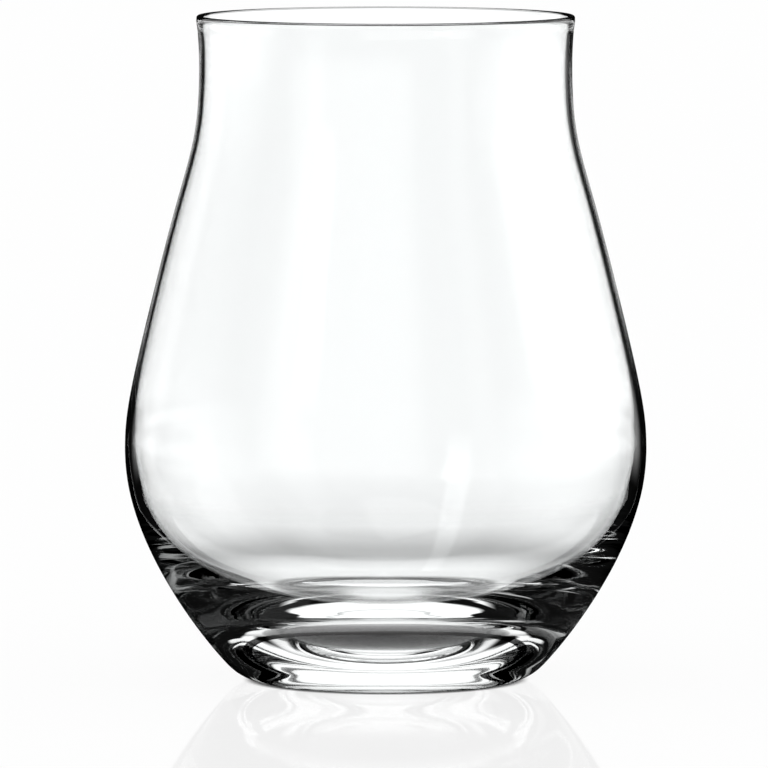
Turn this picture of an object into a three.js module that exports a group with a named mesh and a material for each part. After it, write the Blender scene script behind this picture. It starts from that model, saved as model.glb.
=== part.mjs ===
// A stemless tulip tumbler in clear glass: one blown piece with a thin wall and a heavy base.
// Units are millimetres and +Z is up. The origin is on the axis, in the plane that the glass stands on.

import * as THREE from "three";

// Heights along the axis
const height = 110; // standing plane to the top of the lip
const neckDrop = 8.1; // top of the lip down to the narrowest neck
const bellyHeight = 37.8; // standing plane to the widest point outside
const bowlBellyRise = 2.2; // widest point outside up to the widest point inside
const bowlFloorHeight = 7.2; // standing plane to the lowest point inside

// Outside radii
const rimRadius = 31.2;
const neckRadius = 30.75;
const shoulderRadius = 36.5;
const bellyRadius = 43.1;
const footRadius = 20.1; // outer edge of the flat ring that the glass stands on
const heelRadius = 8.3; // rounding from that ring into the flank

// Slopes, in degrees
const shoulderLean = 14.2; // the shoulder's wall from upright
const flankRise = 43.5; // the flank from level, where it leaves the heel
const rimLean = 6.5; // the flared rim from upright, outwards

// Glass thickness
const rimWall = 0.9;
const neckWall = 1.0;
const shoulderWall = 0.95;
const bellyWall = 1.55; // between the widest points outside and inside

// Underside
const ringWidth = 1.5; // flat standing ring
const puntDepth = 0.25; // hollow inside the ring, at the axis

// Shape of the curves: the shoulder's place on the way up from belly to neck, and the fullness, which is
// how far each curve keeps the direction of its end, as a share of the height it spans
const shoulderPlace = 0.526;
const flankHeelFullness = 0.12;
const flankBellyFullness = 0.44;
const bellyFullness = 0.18;
const shoulderLowerFullness = 0.77;
const shoulderUpperFullness = 0.54;
const neckLowerFullness = 0.44;
const neckUpperFullness = 0.33;
const rimFullness = 0.33;
const bowlSideFullness = 0.208;
const bowlFloorFullness = 0.936; // a share of the bowl's radius

// Facets
const turnSteps = 64; // around the axis
const curveSteps = { punt: 4, ring: 1, heel: 5, flank: 8, body: 9, neck: 7, rim: 4, lip: 6, bowl: 18 };

const at = (radius, z) => new THREE.Vector2(radius, z);
const radians = THREE.MathUtils.degToRad;
const along = (degrees) => at(Math.cos(radians(degrees)), Math.sin(radians(degrees)));
const upright = along(90);
const level = along(0);
const shoulderWay = along(90 + shoulderLean);
const flankWay = along(flankRise);
const rimWay = along(90 - rimLean);

// The fire-polished edge is a half round, square to the flared rim.
const lipRounding = rimWall / 2;
const lipCentre = at(rimRadius - lipRounding, height - lipRounding);
const acrossRim = along(-rimLean);

// A smooth curve between two points of the profile, leaving each along a direction for a given length.
function curveBetween(from, fromWay, fromLength, to, toWay, toLength) {
  const leave = from.clone().addScaledVector(fromWay, fromLength);
  const arrive = to.clone().addScaledVector(toWay, -toLength);
  return new THREE.CubicBezierCurve(from, leave, arrive, to);
}

// The wall from belly to rim. The inside has the glass taken off each radius, the outside nothing, and
// lipSide is the way from the middle of the lip to the wall's own end of the half round.
function wallAbove(belly, walls, lipSide) {
  const neckHeight = height - neckDrop;
  const shoulderHeight = bellyHeight + (neckHeight - bellyHeight) * shoulderPlace;
  const shoulder = at(shoulderRadius - walls.shoulder, shoulderHeight);
  const neck = at(neckRadius - walls.neck, neckHeight);
  const rim = lipCentre.clone().addScaledVector(acrossRim, lipSide * lipRounding);
  const bodySpan = shoulder.y - belly.y;
  const neckSpan = neck.y - shoulder.y;
  const rimSpan = rim.y - neck.y;
  return {
    body: curveBetween(
      belly, upright, bodySpan * bellyFullness,
      shoulder, shoulderWay, bodySpan * shoulderLowerFullness,
    ),
    neck: curveBetween(
      shoulder, shoulderWay, neckSpan * shoulderUpperFullness,
      neck, upright, neckSpan * neckLowerFullness,
    ),
    flare: curveBetween(
      neck, upright, rimSpan * neckUpperFullness,
      rim, rimWay, rimSpan * rimFullness,
    ),
  };
}

// The shallow hollow under the base, from the axis out to the standing ring.
function puntCurve() {
  const edge = at(footRadius - ringWidth, 0);
  const domeRadius = (edge.x ** 2 + puntDepth ** 2) / (2 * puntDepth);
  const halfAngle = Math.asin(edge.x / domeRadius);
  const centre = puntDepth - domeRadius;
  const top = Math.PI / 2;
  return new THREE.EllipseCurve(0, centre, domeRadius, domeRadius, top, top - halfAngle, true);
}

function standingRing() {
  return new THREE.LineCurve(at(footRadius - ringWidth, 0), at(footRadius, 0));
}

function heelArc() {
  const bottom = -Math.PI / 2;
  const top = bottom + radians(flankRise);
  return new THREE.EllipseCurve(footRadius, heelRadius, heelRadius, heelRadius, bottom, top, false);
}

// Over the lip, from the outside of the rim to the inside.
function lipArc() {
  const start = radians(-rimLean);
  const { x, y } = lipCentre;
  return new THREE.EllipseCurve(x, y, lipRounding, lipRounding, start, start + Math.PI, false);
}

function bowlCurve(belly) {
  const floor = at(0, bowlFloorHeight);
  const span = belly.y - floor.y;
  return curveBetween(
    floor, level, belly.x * bowlFloorFullness,
    belly, upright, span * bowlSideFullness,
  );
}

// The whole section in order: out along the underside, up the outside, over the lip and down the inside.
function sectionPoints() {
  const outerBelly = at(bellyRadius, bellyHeight);
  const innerBelly = at(bellyRadius - bellyWall, bellyHeight + bowlBellyRise);
  const outside = wallAbove(outerBelly, { shoulder: 0, neck: 0 }, 1);
  const inside = wallAbove(innerBelly, { shoulder: shoulderWall, neck: neckWall }, -1);
  const heel = heelArc();
  const heelTop = heel.getPoint(1);
  const flankSpan = outerBelly.y - heelTop.y;
  const flank = curveBetween(
    heelTop, flankWay, flankSpan * flankHeelFullness,
    outerBelly, upright, flankSpan * flankBellyFullness,
  );
  const forward = (curve, steps) => curve.getPoints(steps);
  const backward = (curve, steps) => curve.getPoints(steps).reverse();
  const stretches = [
    forward(puntCurve(), curveSteps.punt),
    forward(standingRing(), curveSteps.ring),
    forward(heel, curveSteps.heel),
    forward(flank, curveSteps.flank),
    forward(outside.body, curveSteps.body),
    forward(outside.neck, curveSteps.neck),
    forward(outside.flare, curveSteps.rim),
    forward(lipArc(), curveSteps.lip),
    backward(inside.flare, curveSteps.rim),
    backward(inside.neck, curveSteps.neck),
    backward(inside.body, curveSteps.body),
    backward(bowlCurve(innerBelly), curveSteps.bowl),
  ];
  return stretches.flatMap((points, i) => (i === 0 ? points : points.slice(1)));
}

const clearGlass = new THREE.MeshStandardMaterial({
  color: 0xf7faf9,
  roughness: 0.02,
  metalness: 0,
  transparent: true,
  opacity: 0.35,
});

const geometry = new THREE.LatheGeometry(sectionPoints(), turnSteps);
geometry.rotateX(Math.PI / 2); // the lathe turns about Y, and the glass stands along Z

const glass = new THREE.Mesh(geometry, clearGlass);
glass.name = "tumbler_glass";

const tumbler = new THREE.Group();
tumbler.add(glass);

export default tumbler;
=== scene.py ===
import math

import bmesh
import bpy
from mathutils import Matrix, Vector, noise


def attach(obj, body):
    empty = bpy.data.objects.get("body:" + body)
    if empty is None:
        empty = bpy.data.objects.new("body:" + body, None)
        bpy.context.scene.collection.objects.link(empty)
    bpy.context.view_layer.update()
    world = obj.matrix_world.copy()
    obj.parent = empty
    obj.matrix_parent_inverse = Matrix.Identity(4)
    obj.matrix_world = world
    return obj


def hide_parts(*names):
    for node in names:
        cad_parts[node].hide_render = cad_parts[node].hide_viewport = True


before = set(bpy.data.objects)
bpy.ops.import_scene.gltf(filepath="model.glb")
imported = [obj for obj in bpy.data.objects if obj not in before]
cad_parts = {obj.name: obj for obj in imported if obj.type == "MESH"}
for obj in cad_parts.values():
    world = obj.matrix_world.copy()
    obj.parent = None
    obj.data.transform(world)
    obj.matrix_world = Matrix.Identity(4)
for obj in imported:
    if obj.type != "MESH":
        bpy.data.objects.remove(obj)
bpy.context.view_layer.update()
scene = bpy.context.scene
scene.view_settings.view_transform = "Standard"
lightBounces = 24       # light goes round many times in the thick base
for limit in ("max_bounces", "glossy_bounces", "transmission_bounces", "transparent_max_bounces"):
    setattr(scene.cycles, limit, lightBounces)
print("frame loaded, nodes:", sorted(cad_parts))


def hexToLinear(code):
    channels = [int(code[k:k + 2], 16) / 255 for k in (1, 3, 5)]
    linear = [c / 12.92 if c <= 0.04045 else ((c + 0.055) / 1.055) ** 2.4 for c in channels]
    return (*linear, 1.0)


# A setting is an input socket by name or number, or else a property. A socket as value makes a link.
def addNode(tree, kind, settings):
    node = tree.nodes.new(kind)
    for key, value in settings.items():
        if isinstance(key, str) and key not in node.inputs:
            setattr(node, key, value)
        elif isinstance(value, bpy.types.NodeSocket):
            tree.links.new(value, node.inputs[key])
        else:
            node.inputs[key].default_value = value
    return node


def emptyTree(owner):
    owner.use_nodes = True
    owner.node_tree.nodes.clear()
    return owner.node_tree


# Camera, at the photo's height and distance, with a long lens
cameraSetup = {
    "distance": 1.65,       # from the glass's axis, level
    "height": 0.1865,       # above the floor
    "aimHeight": 0.049,
    "side": -0.00028,       # the glass stands a little right of the middle
    "lens": 469.7,
    "sensor": 36.0,
    "farClip": 100,
}

cameraData = bpy.data.cameras.new("camera")
cameraData.lens = cameraSetup["lens"]
cameraData.sensor_width = cameraSetup["sensor"]
cameraData.clip_end = cameraSetup["farClip"]
camera = bpy.data.objects.new("camera", cameraData)
scene.collection.objects.link(camera)
scene.camera = camera
camera.location = (cameraSetup["side"], -cameraSetup["distance"], cameraSetup["height"])
aim = Vector((cameraSetup["side"], 0, cameraSetup["aimHeight"]))
camera.rotation_euler = (aim - camera.location).to_track_quat("-Z", "Y").to_euler()
print("camera placed")


# The glass: the CAD node's own half section, drawn out to a smooth curve through its points and turned
# again much finer
tumblerShape = {
    "node": "tumbler_glass",
    "weld": 1e-6,           # merges the node's loose triangles
    "cuts": 4,              # pieces that each stretch of the section is cut into
    "turnSteps": 192,
    "levelFrom": 0.7,       # a surface counts as level from this share of upright in its normal
    "uneven": 0.00012,      # the bowl stands this far off the axis: the wall is thicker on the right
    "unevenFrom": 0.108,    # below the lip, the whole of it is reached over the fade
    "unevenFade": 0.012,
    "wave": 0.00002,        # depth of the waviness that the base kept from its mould
    "waveLength": 0.009,
    "waveHeights": (0.014, 0.030),
}


def sectionPoints(shape):
    bm = bmesh.new()
    bm.from_mesh(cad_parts[shape["node"]].data)
    bmesh.ops.remove_doubles(bm, verts=bm.verts, dist=shape["weld"])
    offSection = [v for v in bm.verts if abs(v.co.y) > shape["weld"] or v.co.x < -shape["weld"]]
    bmesh.ops.delete(bm, geom=offSection, context="VERTS")
    ends = [v for v in bm.verts if len(v.link_edges) == 1]
    vert = min(ends, key=lambda v: v.co.z)      # the underside, on the axis
    points, edge = [vert.co.copy()], None
    while edge is None or len(vert.link_edges) > 1:
        edge = next(e for e in vert.link_edges if e is not edge)
        vert = edge.other_vert(vert)
        points.append(vert.co.copy())
    bm.free()
    return points


# A curve through all the points, each passed in the direction that its neighbours give
def drawOut(points, cuts):
    flip = Vector((-1, 1, 1))
    chain = [points[1] * flip, *points, points[-2] * flip]
    smooth = [points[0]]
    for before, start, end, after in zip(chain, chain[1:], chain[2:], chain[3:]):
        lead, span, trail = (start - before).length, (end - start).length, (after - end).length
        leave = ((start - before) / lead * span + (end - start) / span * lead) / (lead + span)
        arrive = ((end - start) / span * trail + (after - end) / trail * span) / (span + trail)
        for k in range(1, cuts + 1):
            t = k / cuts
            smooth.append(start * (2 * t ** 3 - 3 * t ** 2 + 1) + leave * span * (t ** 3 - 2 * t ** 2 + t)
                          + end * (3 * t ** 2 - 2 * t ** 3) + arrive * span * (t ** 3 - t ** 2))
            smooth[-1].z = max(smooth[-1].z, 0)     # the standing ring stays flat
    return smooth


def turnTumbler(shape):
    bm = bmesh.new()
    ring = [bm.verts.new(p) for p in drawOut(sectionPoints(shape), shape["cuts"])]
    for start, end in zip(ring, ring[1:]):
        bm.edges.new((start, end))
    bmesh.ops.spin(bm, geom=bm.verts[:] + bm.edges[:], cent=(0, 0, 0), axis=(0, 0, 1),
                   angle=2 * math.pi, steps=shape["turnSteps"], use_merge=True)
    bmesh.ops.remove_doubles(bm, verts=bm.verts, dist=shape["weld"])
    bmesh.ops.recalc_face_normals(bm, faces=bm.faces)
    bm.normal_update()
    waveLow, waveHigh = shape["waveHeights"]
    moves = []
    for v in bm.verts:
        facesIn = v.normal.xy.dot(v.co.xy) < 0 or v.normal.z > shape["levelFrom"]
        if not facesIn or v.normal.z < -shape["levelFrom"]:     # the underside stays as it is
            continue
        share = min(max((shape["unevenFrom"] - v.co.z) / shape["unevenFade"], 0), 1)
        low = min(max((waveHigh - v.co.z) / (waveHigh - waveLow), 0), 1)
        wave = noise.noise(v.co / shape["waveLength"]) * shape["wave"] * low
        moves.append((v, Vector((-shape["uneven"] * share, 0, 0)) + v.normal * wave))
    for v, move in moves:
        v.co += move
    for face in bm.faces:
        face.smooth = True
    mesh = bpy.data.meshes.new("tumbler")
    bm.to_mesh(mesh)
    bm.free()
    piece = bpy.data.objects.new("tumbler", mesh)
    scene.collection.objects.link(piece)
    return piece


tumbler = turnTumbler(tumblerShape)
print("tumbler turned, faces:", len(tumbler.data.polygons))


# Blown crystal glass, fire-polished: clear and bright, with a faint waviness that bends the lines seen
# through it
blownGlass = {
    "colour": "#fdfefe",
    "ior": 1.52,
    "roughness": 0.0,
    "rippleSize": 0.007,    # metres from one ripple to the next
    "rippleDepth": 0.000004,
    "rippleDetail": 1.0,
    "rippleRoughness": 0.4,
    "body": "#f0f6f4",      # what the glass lets through
    "bodyDensity": 2.0,
}


def makeBlownGlass(glass):
    material = bpy.data.materials.new("blown_crystal_glass")
    tree = emptyTree(material)
    place = addNode(tree, "ShaderNodeTexCoord", {}).outputs["Object"]
    ripples = addNode(tree, "ShaderNodeTexNoise", {
        "Vector": place, "Scale": 1 / glass["rippleSize"],
        "Detail": glass["rippleDetail"], "Roughness": glass["rippleRoughness"],
    }).outputs[0]
    relief = addNode(tree, "ShaderNodeBump", {
        "Height": ripples, "Strength": 1.0, "Distance": glass["rippleDepth"],
    }).outputs["Normal"]
    shader = addNode(tree, "ShaderNodeBsdfPrincipled", {
        "Base Color": hexToLinear(glass["colour"]),
        "Roughness": glass["roughness"],
        "IOR": glass["ior"],
        "Transmission Weight": 1.0,
        "Normal": relief,
    })
    depth = addNode(tree, "ShaderNodeVolumeAbsorption", {
        "Color": hexToLinear(glass["body"]), "Density": glass["bodyDensity"],
    })
    addNode(tree, "ShaderNodeOutputMaterial", {
        "Surface": shader.outputs["BSDF"], "Volume": depth.outputs["Volume"],
    })
    return material


tumbler.data.materials.append(makeBlownGlass(blownGlass))
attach(tumbler, "root")
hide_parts(tumblerShape["node"])
print("glass material done")


# Studio, as the glass shows it: white windows behind it in the four directions that it is looked at from,
# and black flags between them, which draw its outlines. Bearings run clockwise from +Y and heights up from
# level, in degrees. Light that comes straight through the thin walls, two surfaces or four, is from the
# white room behind. Light that goes round in the wall's edge or in the base is from the windows, which are
# narrow near level and wider below and above.
studio = {
    # narrow and wide are half widths, and heights are where wide ends, narrow begins and ends and wide
    # begins again; below lip the light bent by the lip is dark, and below sides the room's sides lose
    # their strength; around a mirrored one, the outside of the glass mirrors black flags
    "windows": [
        {"bearing": 0, "narrow": 5, "wide": 27, "edge": 9, "heights": (-26, -9, 3.5, 8), "top": 54,
         "lip": (-19, -15), "sides": (-11, -7.5), "share": 1.0, "mirrored": True},
        {"bearing": -45, "narrow": 4, "wide": 12, "edge": 5, "heights": (-45, -29, -16, -10), "top": -8,
         "lip": (-75, -60), "sides": (-80, -75), "share": 0.4, "mirrored": False},
        {"bearing": 135, "narrow": 3, "wide": 8, "edge": 4, "heights": (-35, -19, -6, 4), "top": 70,
         "lip": (-45, -35), "sides": (-80, -75), "share": 0.3, "mirrored": True},
        {"bearing": -90, "narrow": 4, "wide": 12, "edge": 5, "heights": (-25, -7, 20, 26), "top": -4,
         "lip": (-19, -15), "sides": (-11, -7.5), "share": 0.5, "mirrored": True},
    ],
    # a tall strip lamp in front, mirrored as a light stripe in the bowl
    "strip": {"bearing": -142.5, "half": 5, "edge": 2, "heights": (8, 28, 35, 39), "strength": 2.5},
    "shift": -1.0,          # of every window, because the wall is thicker on one side
    "topEdge": 5,           # over which a window fades at its top
    "windowStrength": 1.3,
    "turnedSurfaces": 3,    # what light meets that is turned once in a wall's edge
    "wallHalf": (10, 3.5),  # half of a window for that light, low down and higher up
    "wallHeights": (-22, -16),
    "flagStrength": 0.005,
    "ceilingStrength": 0.9,
    "ceiling": (60, 70),    # it begins between these
    "thinSurfaces": (2, 4),     # through one wall, and through the near one and the far one
    "roomTop": (6, 16),     # the white room ends between these
    # in the middle of a window, at its sides and beyond, against what the glass reflects away
    "roomStrength": (1.15, 2.6, 1.3),
    "roomSides": (1.5, 13, 20, 28),     # to either side of the middle, where these begin and end
    "lipSpan": 22.5,        # degrees to either side of a window in which the lip's bent light is dark
    "backLip": 0.5,         # share of that dark on the lip's far side, which is seen over the near one
    "lowSides": 0.25,       # share of the sides' extra strength that is left low down
    "frontStrength": 0.9,   # what the outside of the glass mirrors, beyond the flags
    "frontFlags": (25, 36),     # to either side of a window, where they end
    "lowGloss": (-10, -3),  # lower than this it mirrors a dark floor
    "fillStrength": 1.0,    # what the floor is lit by
}

depthMatch = 0.5        # Ray Depth is a whole number, so it is the same within this
worldDepth = 1          # at the world it is one more than the surfaces met


def buildWorld(setup):
    world = bpy.data.worlds.new("studio")
    scene.world = world
    tree = emptyTree(world)
    direction = addNode(tree, "ShaderNodeTexCoord", {}).outputs["Generated"]
    axes = addNode(tree, "ShaderNodeSeparateXYZ", {"Vector": direction}).outputs
    path = addNode(tree, "ShaderNodeLightPath", {}).outputs
    bearing = addNode(tree, "ShaderNodeMath", {
        "operation": "ARCTAN2", 0: axes["X"], 1: axes["Y"],
    }).outputs[0]
    bearing = addNode(tree, "ShaderNodeMath", {"operation": "DEGREES", 0: bearing}).outputs[0]
    rise = addNode(tree, "ShaderNodeMath", {"operation": "ARCSINE", 0: axes["Z"]}).outputs[0]
    rise = addNode(tree, "ShaderNodeMath", {"operation": "DEGREES", 0: rise}).outputs[0]
    ceilingLow, ceilingHigh = setup["ceiling"]
    light = addNode(tree, "ShaderNodeMapRange", {
        "interpolation_type": "SMOOTHSTEP", "Value": rise, "From Min": ceilingLow, "From Max": ceilingHigh,
        "To Min": setup["flagStrength"], "To Max": setup["ceilingStrength"],
    }).outputs[0]
    turned = addNode(tree, "ShaderNodeMath", {
        "operation": "COMPARE", 0: path["Ray Depth"],
        1: setup["turnedSurfaces"] + worldDepth, 2: depthMatch,
    }).outputs[0]
    wallLow, wallHigh = setup["wallHeights"]
    lowHalf, highHalf = setup["wallHalf"]
    wallHalf = addNode(tree, "ShaderNodeMapRange", {
        "Value": rise, "From Min": wallLow, "From Max": wallHigh, "To Min": lowHalf, "To Max": highHalf,
    }).outputs[0]
    halfTurn = 180
    nearest = frontNearest = halfTurn
    lipDark = sidesLost = 0
    for window in setup["windows"]:
        wideBelow, narrowFrom, narrowTo, wideAbove = window["heights"]
        offAxis = []
        for centre in (window["bearing"], window["bearing"] + setup["shift"]):
            aside = addNode(tree, "ShaderNodeMath", {
                "operation": "SUBTRACT", 0: bearing, 1: centre,
            }).outputs[0]
            aside = addNode(tree, "ShaderNodeMath", {
                "operation": "WRAP", 0: aside, 1: halfTurn, 2: -halfTurn,
            }).outputs[0]
            offAxis.append(addNode(tree, "ShaderNodeMath", {"operation": "ABSOLUTE", 0: aside}).outputs[0])
        roomAside, aside = offAxis
        nearest = addNode(tree, "ShaderNodeMath", {
            "operation": "MINIMUM", 0: roomAside, 1: nearest,
        }).outputs[0]
        if window["mirrored"]:
            frontNearest = addNode(tree, "ShaderNodeMath", {
                "operation": "MINIMUM", 0: aside, 1: frontNearest,
            }).outputs[0]
        lipLow, lipHigh = window["lip"]
        beside = addNode(tree, "ShaderNodeMath", {
            "operation": "LESS_THAN", 0: aside, 1: setup["lipSpan"],
        }).outputs[0]
        bent = addNode(tree, "ShaderNodeMapRange", {
            "interpolation_type": "SMOOTHSTEP", "Value": rise, "From Min": lipLow, "From Max": lipHigh,
            "To Min": beside, "To Max": 0,
        }).outputs[0]
        lipDark = addNode(tree, "ShaderNodeMath", {"operation": "MAXIMUM", 0: bent, 1: lipDark}).outputs[0]
        sidesLow, sidesHigh = window["sides"]
        low = addNode(tree, "ShaderNodeMapRange", {
            "interpolation_type": "SMOOTHSTEP", "Value": rise, "From Min": sidesLow, "From Max": sidesHigh,
            "To Min": beside, "To Max": 0,
        }).outputs[0]
        sidesLost = addNode(tree, "ShaderNodeMath", {
            "operation": "MAXIMUM", 0: low, 1: sidesLost,
        }).outputs[0]
        below = addNode(tree, "ShaderNodeMapRange", {
            "Value": rise, "From Min": wideBelow, "From Max": narrowFrom,
            "To Min": window["wide"], "To Max": window["narrow"],
        }).outputs[0]
        above = addNode(tree, "ShaderNodeMapRange", {
            "Value": rise, "From Min": narrowTo, "From Max": wideAbove,
            "To Min": window["narrow"], "To Max": window["wide"],
        }).outputs[0]
        half = addNode(tree, "ShaderNodeMath", {"operation": "MAXIMUM", 0: below, 1: above}).outputs[0]
        half = addNode(tree, "ShaderNodeMix", {
            "data_type": "FLOAT", "Factor": turned, 2: half, 3: wallHalf,
        }).outputs[0]
        past = addNode(tree, "ShaderNodeMath", {"operation": "SUBTRACT", 0: aside, 1: half}).outputs[0]
        pane = addNode(tree, "ShaderNodeMapRange", {
            "interpolation_type": "SMOOTHSTEP", "Value": past, "From Min": 0, "From Max": window["edge"],
            "To Min": setup["windowStrength"] * window["share"], "To Max": 0,
        }).outputs[0]
        under = addNode(tree, "ShaderNodeMapRange", {
            "interpolation_type": "SMOOTHSTEP", "Value": rise, "From Min": window["top"],
            "From Max": window["top"] + setup["topEdge"], "To Min": 1, "To Max": 0,
        }).outputs[0]
        pane = addNode(tree, "ShaderNodeMath", {"operation": "MULTIPLY", 0: pane, 1: under}).outputs[0]
        light = addNode(tree, "ShaderNodeMath", {"operation": "MAXIMUM", 0: light, 1: pane}).outputs[0]
    strip = setup["strip"]
    fadeLow, stripLow, stripHigh, fadeHigh = strip["heights"]
    aside = addNode(tree, "ShaderNodeMath", {
        "operation": "SUBTRACT", 0: bearing, 1: strip["bearing"],
    }).outputs[0]
    aside = addNode(tree, "ShaderNodeMath", {
        "operation": "WRAP", 0: aside, 1: halfTurn, 2: -halfTurn,
    }).outputs[0]
    aside = addNode(tree, "ShaderNodeMath", {"operation": "ABSOLUTE", 0: aside}).outputs[0]
    pane = addNode(tree, "ShaderNodeMapRange", {
        "Value": aside, "From Min": strip["half"], "From Max": strip["half"] + strip["edge"],
        "To Min": strip["strength"], "To Max": 0,
    }).outputs[0]
    pane = addNode(tree, "ShaderNodeMapRange", {
        "Value": rise, "From Min": fadeLow, "From Max": stripLow, "To Max": pane,
    }).outputs[0]
    pane = addNode(tree, "ShaderNodeMapRange", {
        "Value": rise, "From Min": stripHigh, "From Max": fadeHigh, "To Min": pane, "To Max": 0,
    }).outputs[0]
    light = addNode(tree, "ShaderNodeMath", {"operation": "MAXIMUM", 0: light, 1: pane}).outputs[0]
    # straight through the thin walls
    middle, sides, beyond = setup["roomStrength"]
    middleTo, sidesFrom, sidesTo, beyondFrom = setup["roomSides"]
    room = addNode(tree, "ShaderNodeMapRange", {
        "Value": nearest, "From Min": middleTo, "From Max": sidesFrom, "To Min": middle, "To Max": sides,
    }).outputs[0]
    farRoom = addNode(tree, "ShaderNodeMapRange", {
        "Value": nearest, "From Min": sidesTo, "From Max": beyondFrom, "To Min": sides, "To Max": beyond,
    }).outputs[0]
    room = addNode(tree, "ShaderNodeMath", {"operation": "MINIMUM", 0: room, 1: farRoom}).outputs[0]
    sidesLost = addNode(tree, "ShaderNodeMath", {
        "operation": "MULTIPLY", 0: sidesLost, 1: 1 - setup["lowSides"],
    }).outputs[0]
    room = addNode(tree, "ShaderNodeMix", {
        "data_type": "FLOAT", "Factor": sidesLost, 2: room, 3: middle,
    }).outputs[0]
    topFrom, topTo = setup["roomTop"]
    roomShare = addNode(tree, "ShaderNodeMapRange", {
        "interpolation_type": "SMOOTHSTEP", "Value": rise, "From Min": topFrom, "From Max": topTo,
        "To Min": 1, "To Max": setup["flagStrength"],
    }).outputs[0]
    room = addNode(tree, "ShaderNodeMath", {"operation": "MULTIPLY", 0: room, 1: roomShare}).outputs[0]
    oneWall, bothWalls = setup["thinSurfaces"]
    lipShare = addNode(tree, "ShaderNodeMapRange", {
        "Value": path["Ray Depth"], "From Min": oneWall + worldDepth, "From Max": bothWalls + worldDepth,
        "To Min": setup["backLip"],
    }).outputs[0]
    lipDark = addNode(tree, "ShaderNodeMath", {
        "operation": "MULTIPLY", 0: lipDark, 1: lipShare,
    }).outputs[0]
    room = addNode(tree, "ShaderNodeMix", {
        "data_type": "FLOAT", "Factor": lipDark, 2: room, 3: setup["flagStrength"],
    }).outputs[0]
    thin = 0
    for surfaces in setup["thinSurfaces"]:
        same = addNode(tree, "ShaderNodeMath", {
            "operation": "COMPARE", 0: path["Ray Depth"], 1: surfaces + worldDepth, 2: depthMatch,
        }).outputs[0]
        thin = addNode(tree, "ShaderNodeMath", {"operation": "MAXIMUM", 0: same, 1: thin}).outputs[0]
    light = addNode(tree, "ShaderNodeMix", {
        "data_type": "FLOAT", "Factor": thin, 2: light, 3: room,
    }).outputs[0]
    # mirrored on the outside
    flagFrom, flagTo = setup["frontFlags"]
    front = addNode(tree, "ShaderNodeMapRange", {
        "interpolation_type": "SMOOTHSTEP", "Value": frontNearest, "From Min": flagFrom,
        "From Max": flagTo, "To Min": setup["flagStrength"], "To Max": setup["frontStrength"],
    }).outputs[0]
    lowFrom, lowTo = setup["lowGloss"]
    glossShare = addNode(tree, "ShaderNodeMapRange", {
        "interpolation_type": "SMOOTHSTEP", "Value": rise, "From Min": lowFrom, "From Max": lowTo,
    }).outputs[0]
    front = addNode(tree, "ShaderNodeMath", {"operation": "MULTIPLY", 0: front, 1: glossShare}).outputs[0]
    light = addNode(tree, "ShaderNodeMix", {
        "data_type": "FLOAT", "Factor": path["Is Reflection Ray"], 2: light, 3: front,
    }).outputs[0]
    # the glass is sharper than the floor's polish, which mirrors the plain white
    inGlass = addNode(tree, "ShaderNodeMath", {
        "operation": "MAXIMUM", 0: path["Is Transmission Ray"], 1: path["Is Singular Ray"],
    }).outputs[0]
    strength = addNode(tree, "ShaderNodeMix", {
        "data_type": "FLOAT", "Factor": inGlass, 2: setup["fillStrength"], 3: light,
    }).outputs[0]
    sky = addNode(tree, "ShaderNodeBackground", {"Color": (1, 1, 1, 1), "Strength": strength})
    addNode(tree, "ShaderNodeOutputWorld", {"Surface": sky.outputs["Background"]})


buildWorld(studio)
print("studio lit")


# Floor: a wide pale sheet with a soft polish. In the glass it is see-through, so that the windows show,
# and only its shading near the foot is left: a dark ring where the glass touches it, and the soft shade
# that the bowl throws.
floorSheet = {
    "radius": 20.0,
    "segments": 96,
    "colour": "#fefefe",
    "glow": 0.93,           # share of its brightness that no shadow takes away
    "polish": 0.12,         # share of a mirror
    "polishRoughness": 0.04,
    "shadeReach": 0.215,    # from the axis
    # how bright the glass shows it, by distance from the axis in mm: under the foot, then behind it, where
    # the bowl's shade falls, and beside that
    "shadeUnder": [(0, 0.8), (6, 0.75), (9, 0.3), (12, 0.05), (18, 0.02), (22, 0.2)],
    "shadeBehind": [
        (24, 0.85), (32, 0.95), (40, 0.8), (50, 0.5), (60, 0.5), (80, 0.67), (105, 0.87), (215, 1.0),
    ],
    "shadeBeside": [(24, 0.4), (43, 0.35), (52, 0.65), (64, 0.92), (85, 1.03), (215, 1.0)],
    "shadeWidth": (0.018, 0.040),   # to either side, where the shade behind goes over to the one beside
    "white": (0.110, 0.140),    # the glass's thin walls show it white as far as this
    "whiteFrom": 0.030,     # and from here, where only one wall is before it
    "whiteStrength": 1.15,
    "paintedContactShadow": (0.0215, 0.0240),    # painted contact shadow: a dark line painted into the floor's colour round the foot
    "paintedShadowTone": 0.04,
}


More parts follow.
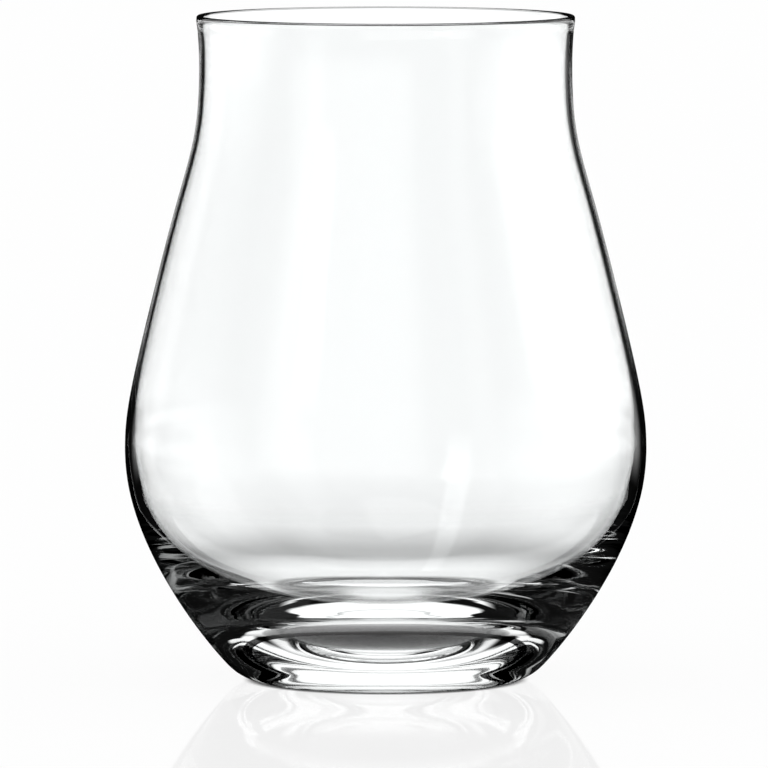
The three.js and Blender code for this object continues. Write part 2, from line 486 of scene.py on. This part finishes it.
def layFloor(sheet):
    bm = bmesh.new()
    bmesh.ops.create_circle(bm, cap_ends=True, segments=sheet["segments"], radius=sheet["radius"])
    mesh = bpy.data.meshes.new("floor_sheet")
    bm.to_mesh(mesh)
    bm.free()
    floor = bpy.data.objects.new("floor_sheet", mesh)
    scene.collection.objects.link(floor)
    material = bpy.data.materials.new("pale_polished_sheet")
    tree = emptyTree(material)
    place = addNode(tree, "ShaderNodeTexCoord", {}).outputs["Object"]
    reach = addNode(tree, "ShaderNodeVectorMath", {"operation": "LENGTH", 0: place}).outputs["Value"]
    # painted contact shadow: the floor's colour is painted dark in a thin ring round the foot
    paintedShadowFrom, paintedShadowTo = sheet["paintedContactShadow"]
    paintedContactShadow = addNode(tree, "ShaderNodeMapRange", {
        "interpolation_type": "SMOOTHSTEP", "Value": reach, "From Min": paintedShadowFrom, "From Max": paintedShadowTo,
        "To Min": sheet["paintedShadowTone"], "To Max": 1,
    }).outputs[0]
    colour = addNode(tree, "ShaderNodeMix", {
        "data_type": "RGBA", "Factor": paintedContactShadow, 6: (0, 0, 0, 1), 7: hexToLinear(sheet["colour"]),
    }).outputs[2]
    lit = addNode(tree, "ShaderNodeBsdfDiffuse", {"Color": colour}).outputs[0]
    glow = addNode(tree, "ShaderNodeEmission", {"Color": colour, "Strength": 1.0}).outputs[0]
    pale = addNode(tree, "ShaderNodeMixShader", {"Fac": sheet["glow"], 1: lit, 2: glow}).outputs[0]
    mirror = addNode(tree, "ShaderNodeBsdfAnisotropic", {
        "Color": (1, 1, 1, 1), "Roughness": sheet["polishRoughness"],
    }).outputs[0]
    polished = addNode(tree, "ShaderNodeMixShader", {
        "Fac": sheet["polish"], 1: pale, 2: mirror,
    }).outputs[0]
    share = addNode(tree, "ShaderNodeMapRange", {
        "Value": reach, "From Max": sheet["shadeReach"],
    }).outputs[0]
    tones = []
    for outer in (sheet["shadeBehind"], sheet["shadeBeside"]):
        steps = sheet["shadeUnder"] + outer
        ramp = addNode(tree, "ShaderNodeValToRGB", {"Fac": share})
        stops = ramp.color_ramp.elements
        for distance, tone in steps[1:-1]:
            stops.new(distance / 1000 / sheet["shadeReach"]).color = (tone, tone, tone, 1)
        for stop, (_, tone) in zip((stops[0], stops[-1]), (steps[0], steps[-1])):
            stop.color = (tone, tone, tone, 1)
        tones.append(ramp.outputs["Color"])
    across = addNode(tree, "ShaderNodeSeparateXYZ", {"Vector": place}).outputs["X"]
    across = addNode(tree, "ShaderNodeMath", {"operation": "ABSOLUTE", 0: across}).outputs[0]
    widthFrom, widthTo = sheet["shadeWidth"]
    beside = addNode(tree, "ShaderNodeMapRange", {
        "interpolation_type": "SMOOTHSTEP", "Value": across, "From Min": widthFrom, "From Max": widthTo,
    }).outputs[0]
    shade = addNode(tree, "ShaderNodeMix", {
        "data_type": "RGBA", "Factor": beside, 6: tones[0], 7: tones[1],
    }).outputs[2]
    seeThrough = addNode(tree, "ShaderNodeBsdfTransparent", {"Color": shade}).outputs[0]
    path = addNode(tree, "ShaderNodeLightPath", {}).outputs
    oneWall, bothWalls = [addNode(tree, "ShaderNodeMath", {
        "operation": "COMPARE", 0: path["Ray Depth"], 1: surfaces, 2: depthMatch,
    }).outputs[0] for surfaces in studio["thinSurfaces"]]
    clear = addNode(tree, "ShaderNodeMath", {
        "operation": "GREATER_THAN", 0: reach, 1: sheet["whiteFrom"],
    }).outputs[0]
    oneWall = addNode(tree, "ShaderNodeMath", {"operation": "MULTIPLY", 0: oneWall, 1: clear}).outputs[0]
    thin = addNode(tree, "ShaderNodeMath", {"operation": "MAXIMUM", 0: bothWalls, 1: oneWall}).outputs[0]
    whiteFrom, whiteTo = sheet["white"]
    whiteShare = addNode(tree, "ShaderNodeMapRange", {
        "Value": reach, "From Min": whiteFrom, "From Max": whiteTo, "To Min": thin, "To Max": 0,
    }).outputs[0]
    white = addNode(tree, "ShaderNodeEmission", {
        "Color": shade, "Strength": sheet["whiteStrength"],
    }).outputs[0]
    seeThrough = addNode(tree, "ShaderNodeMixShader", {
        "Fac": whiteShare, 1: seeThrough, 2: white,
    }).outputs[0]
    inGlass = addNode(tree, "ShaderNodeMath", {
        "operation": "MAXIMUM", 0: path["Is Transmission Ray"], 1: path["Is Glossy Ray"],
    }).outputs[0]
    surface = addNode(tree, "ShaderNodeMixShader", {
        "Fac": inGlass, 1: polished, 2: seeThrough,
    }).outputs[0]
    addNode(tree, "ShaderNodeOutputMaterial", {"Surface": surface})
    mesh.materials.append(material)


layFloor(floorSheet)
print("floor laid")
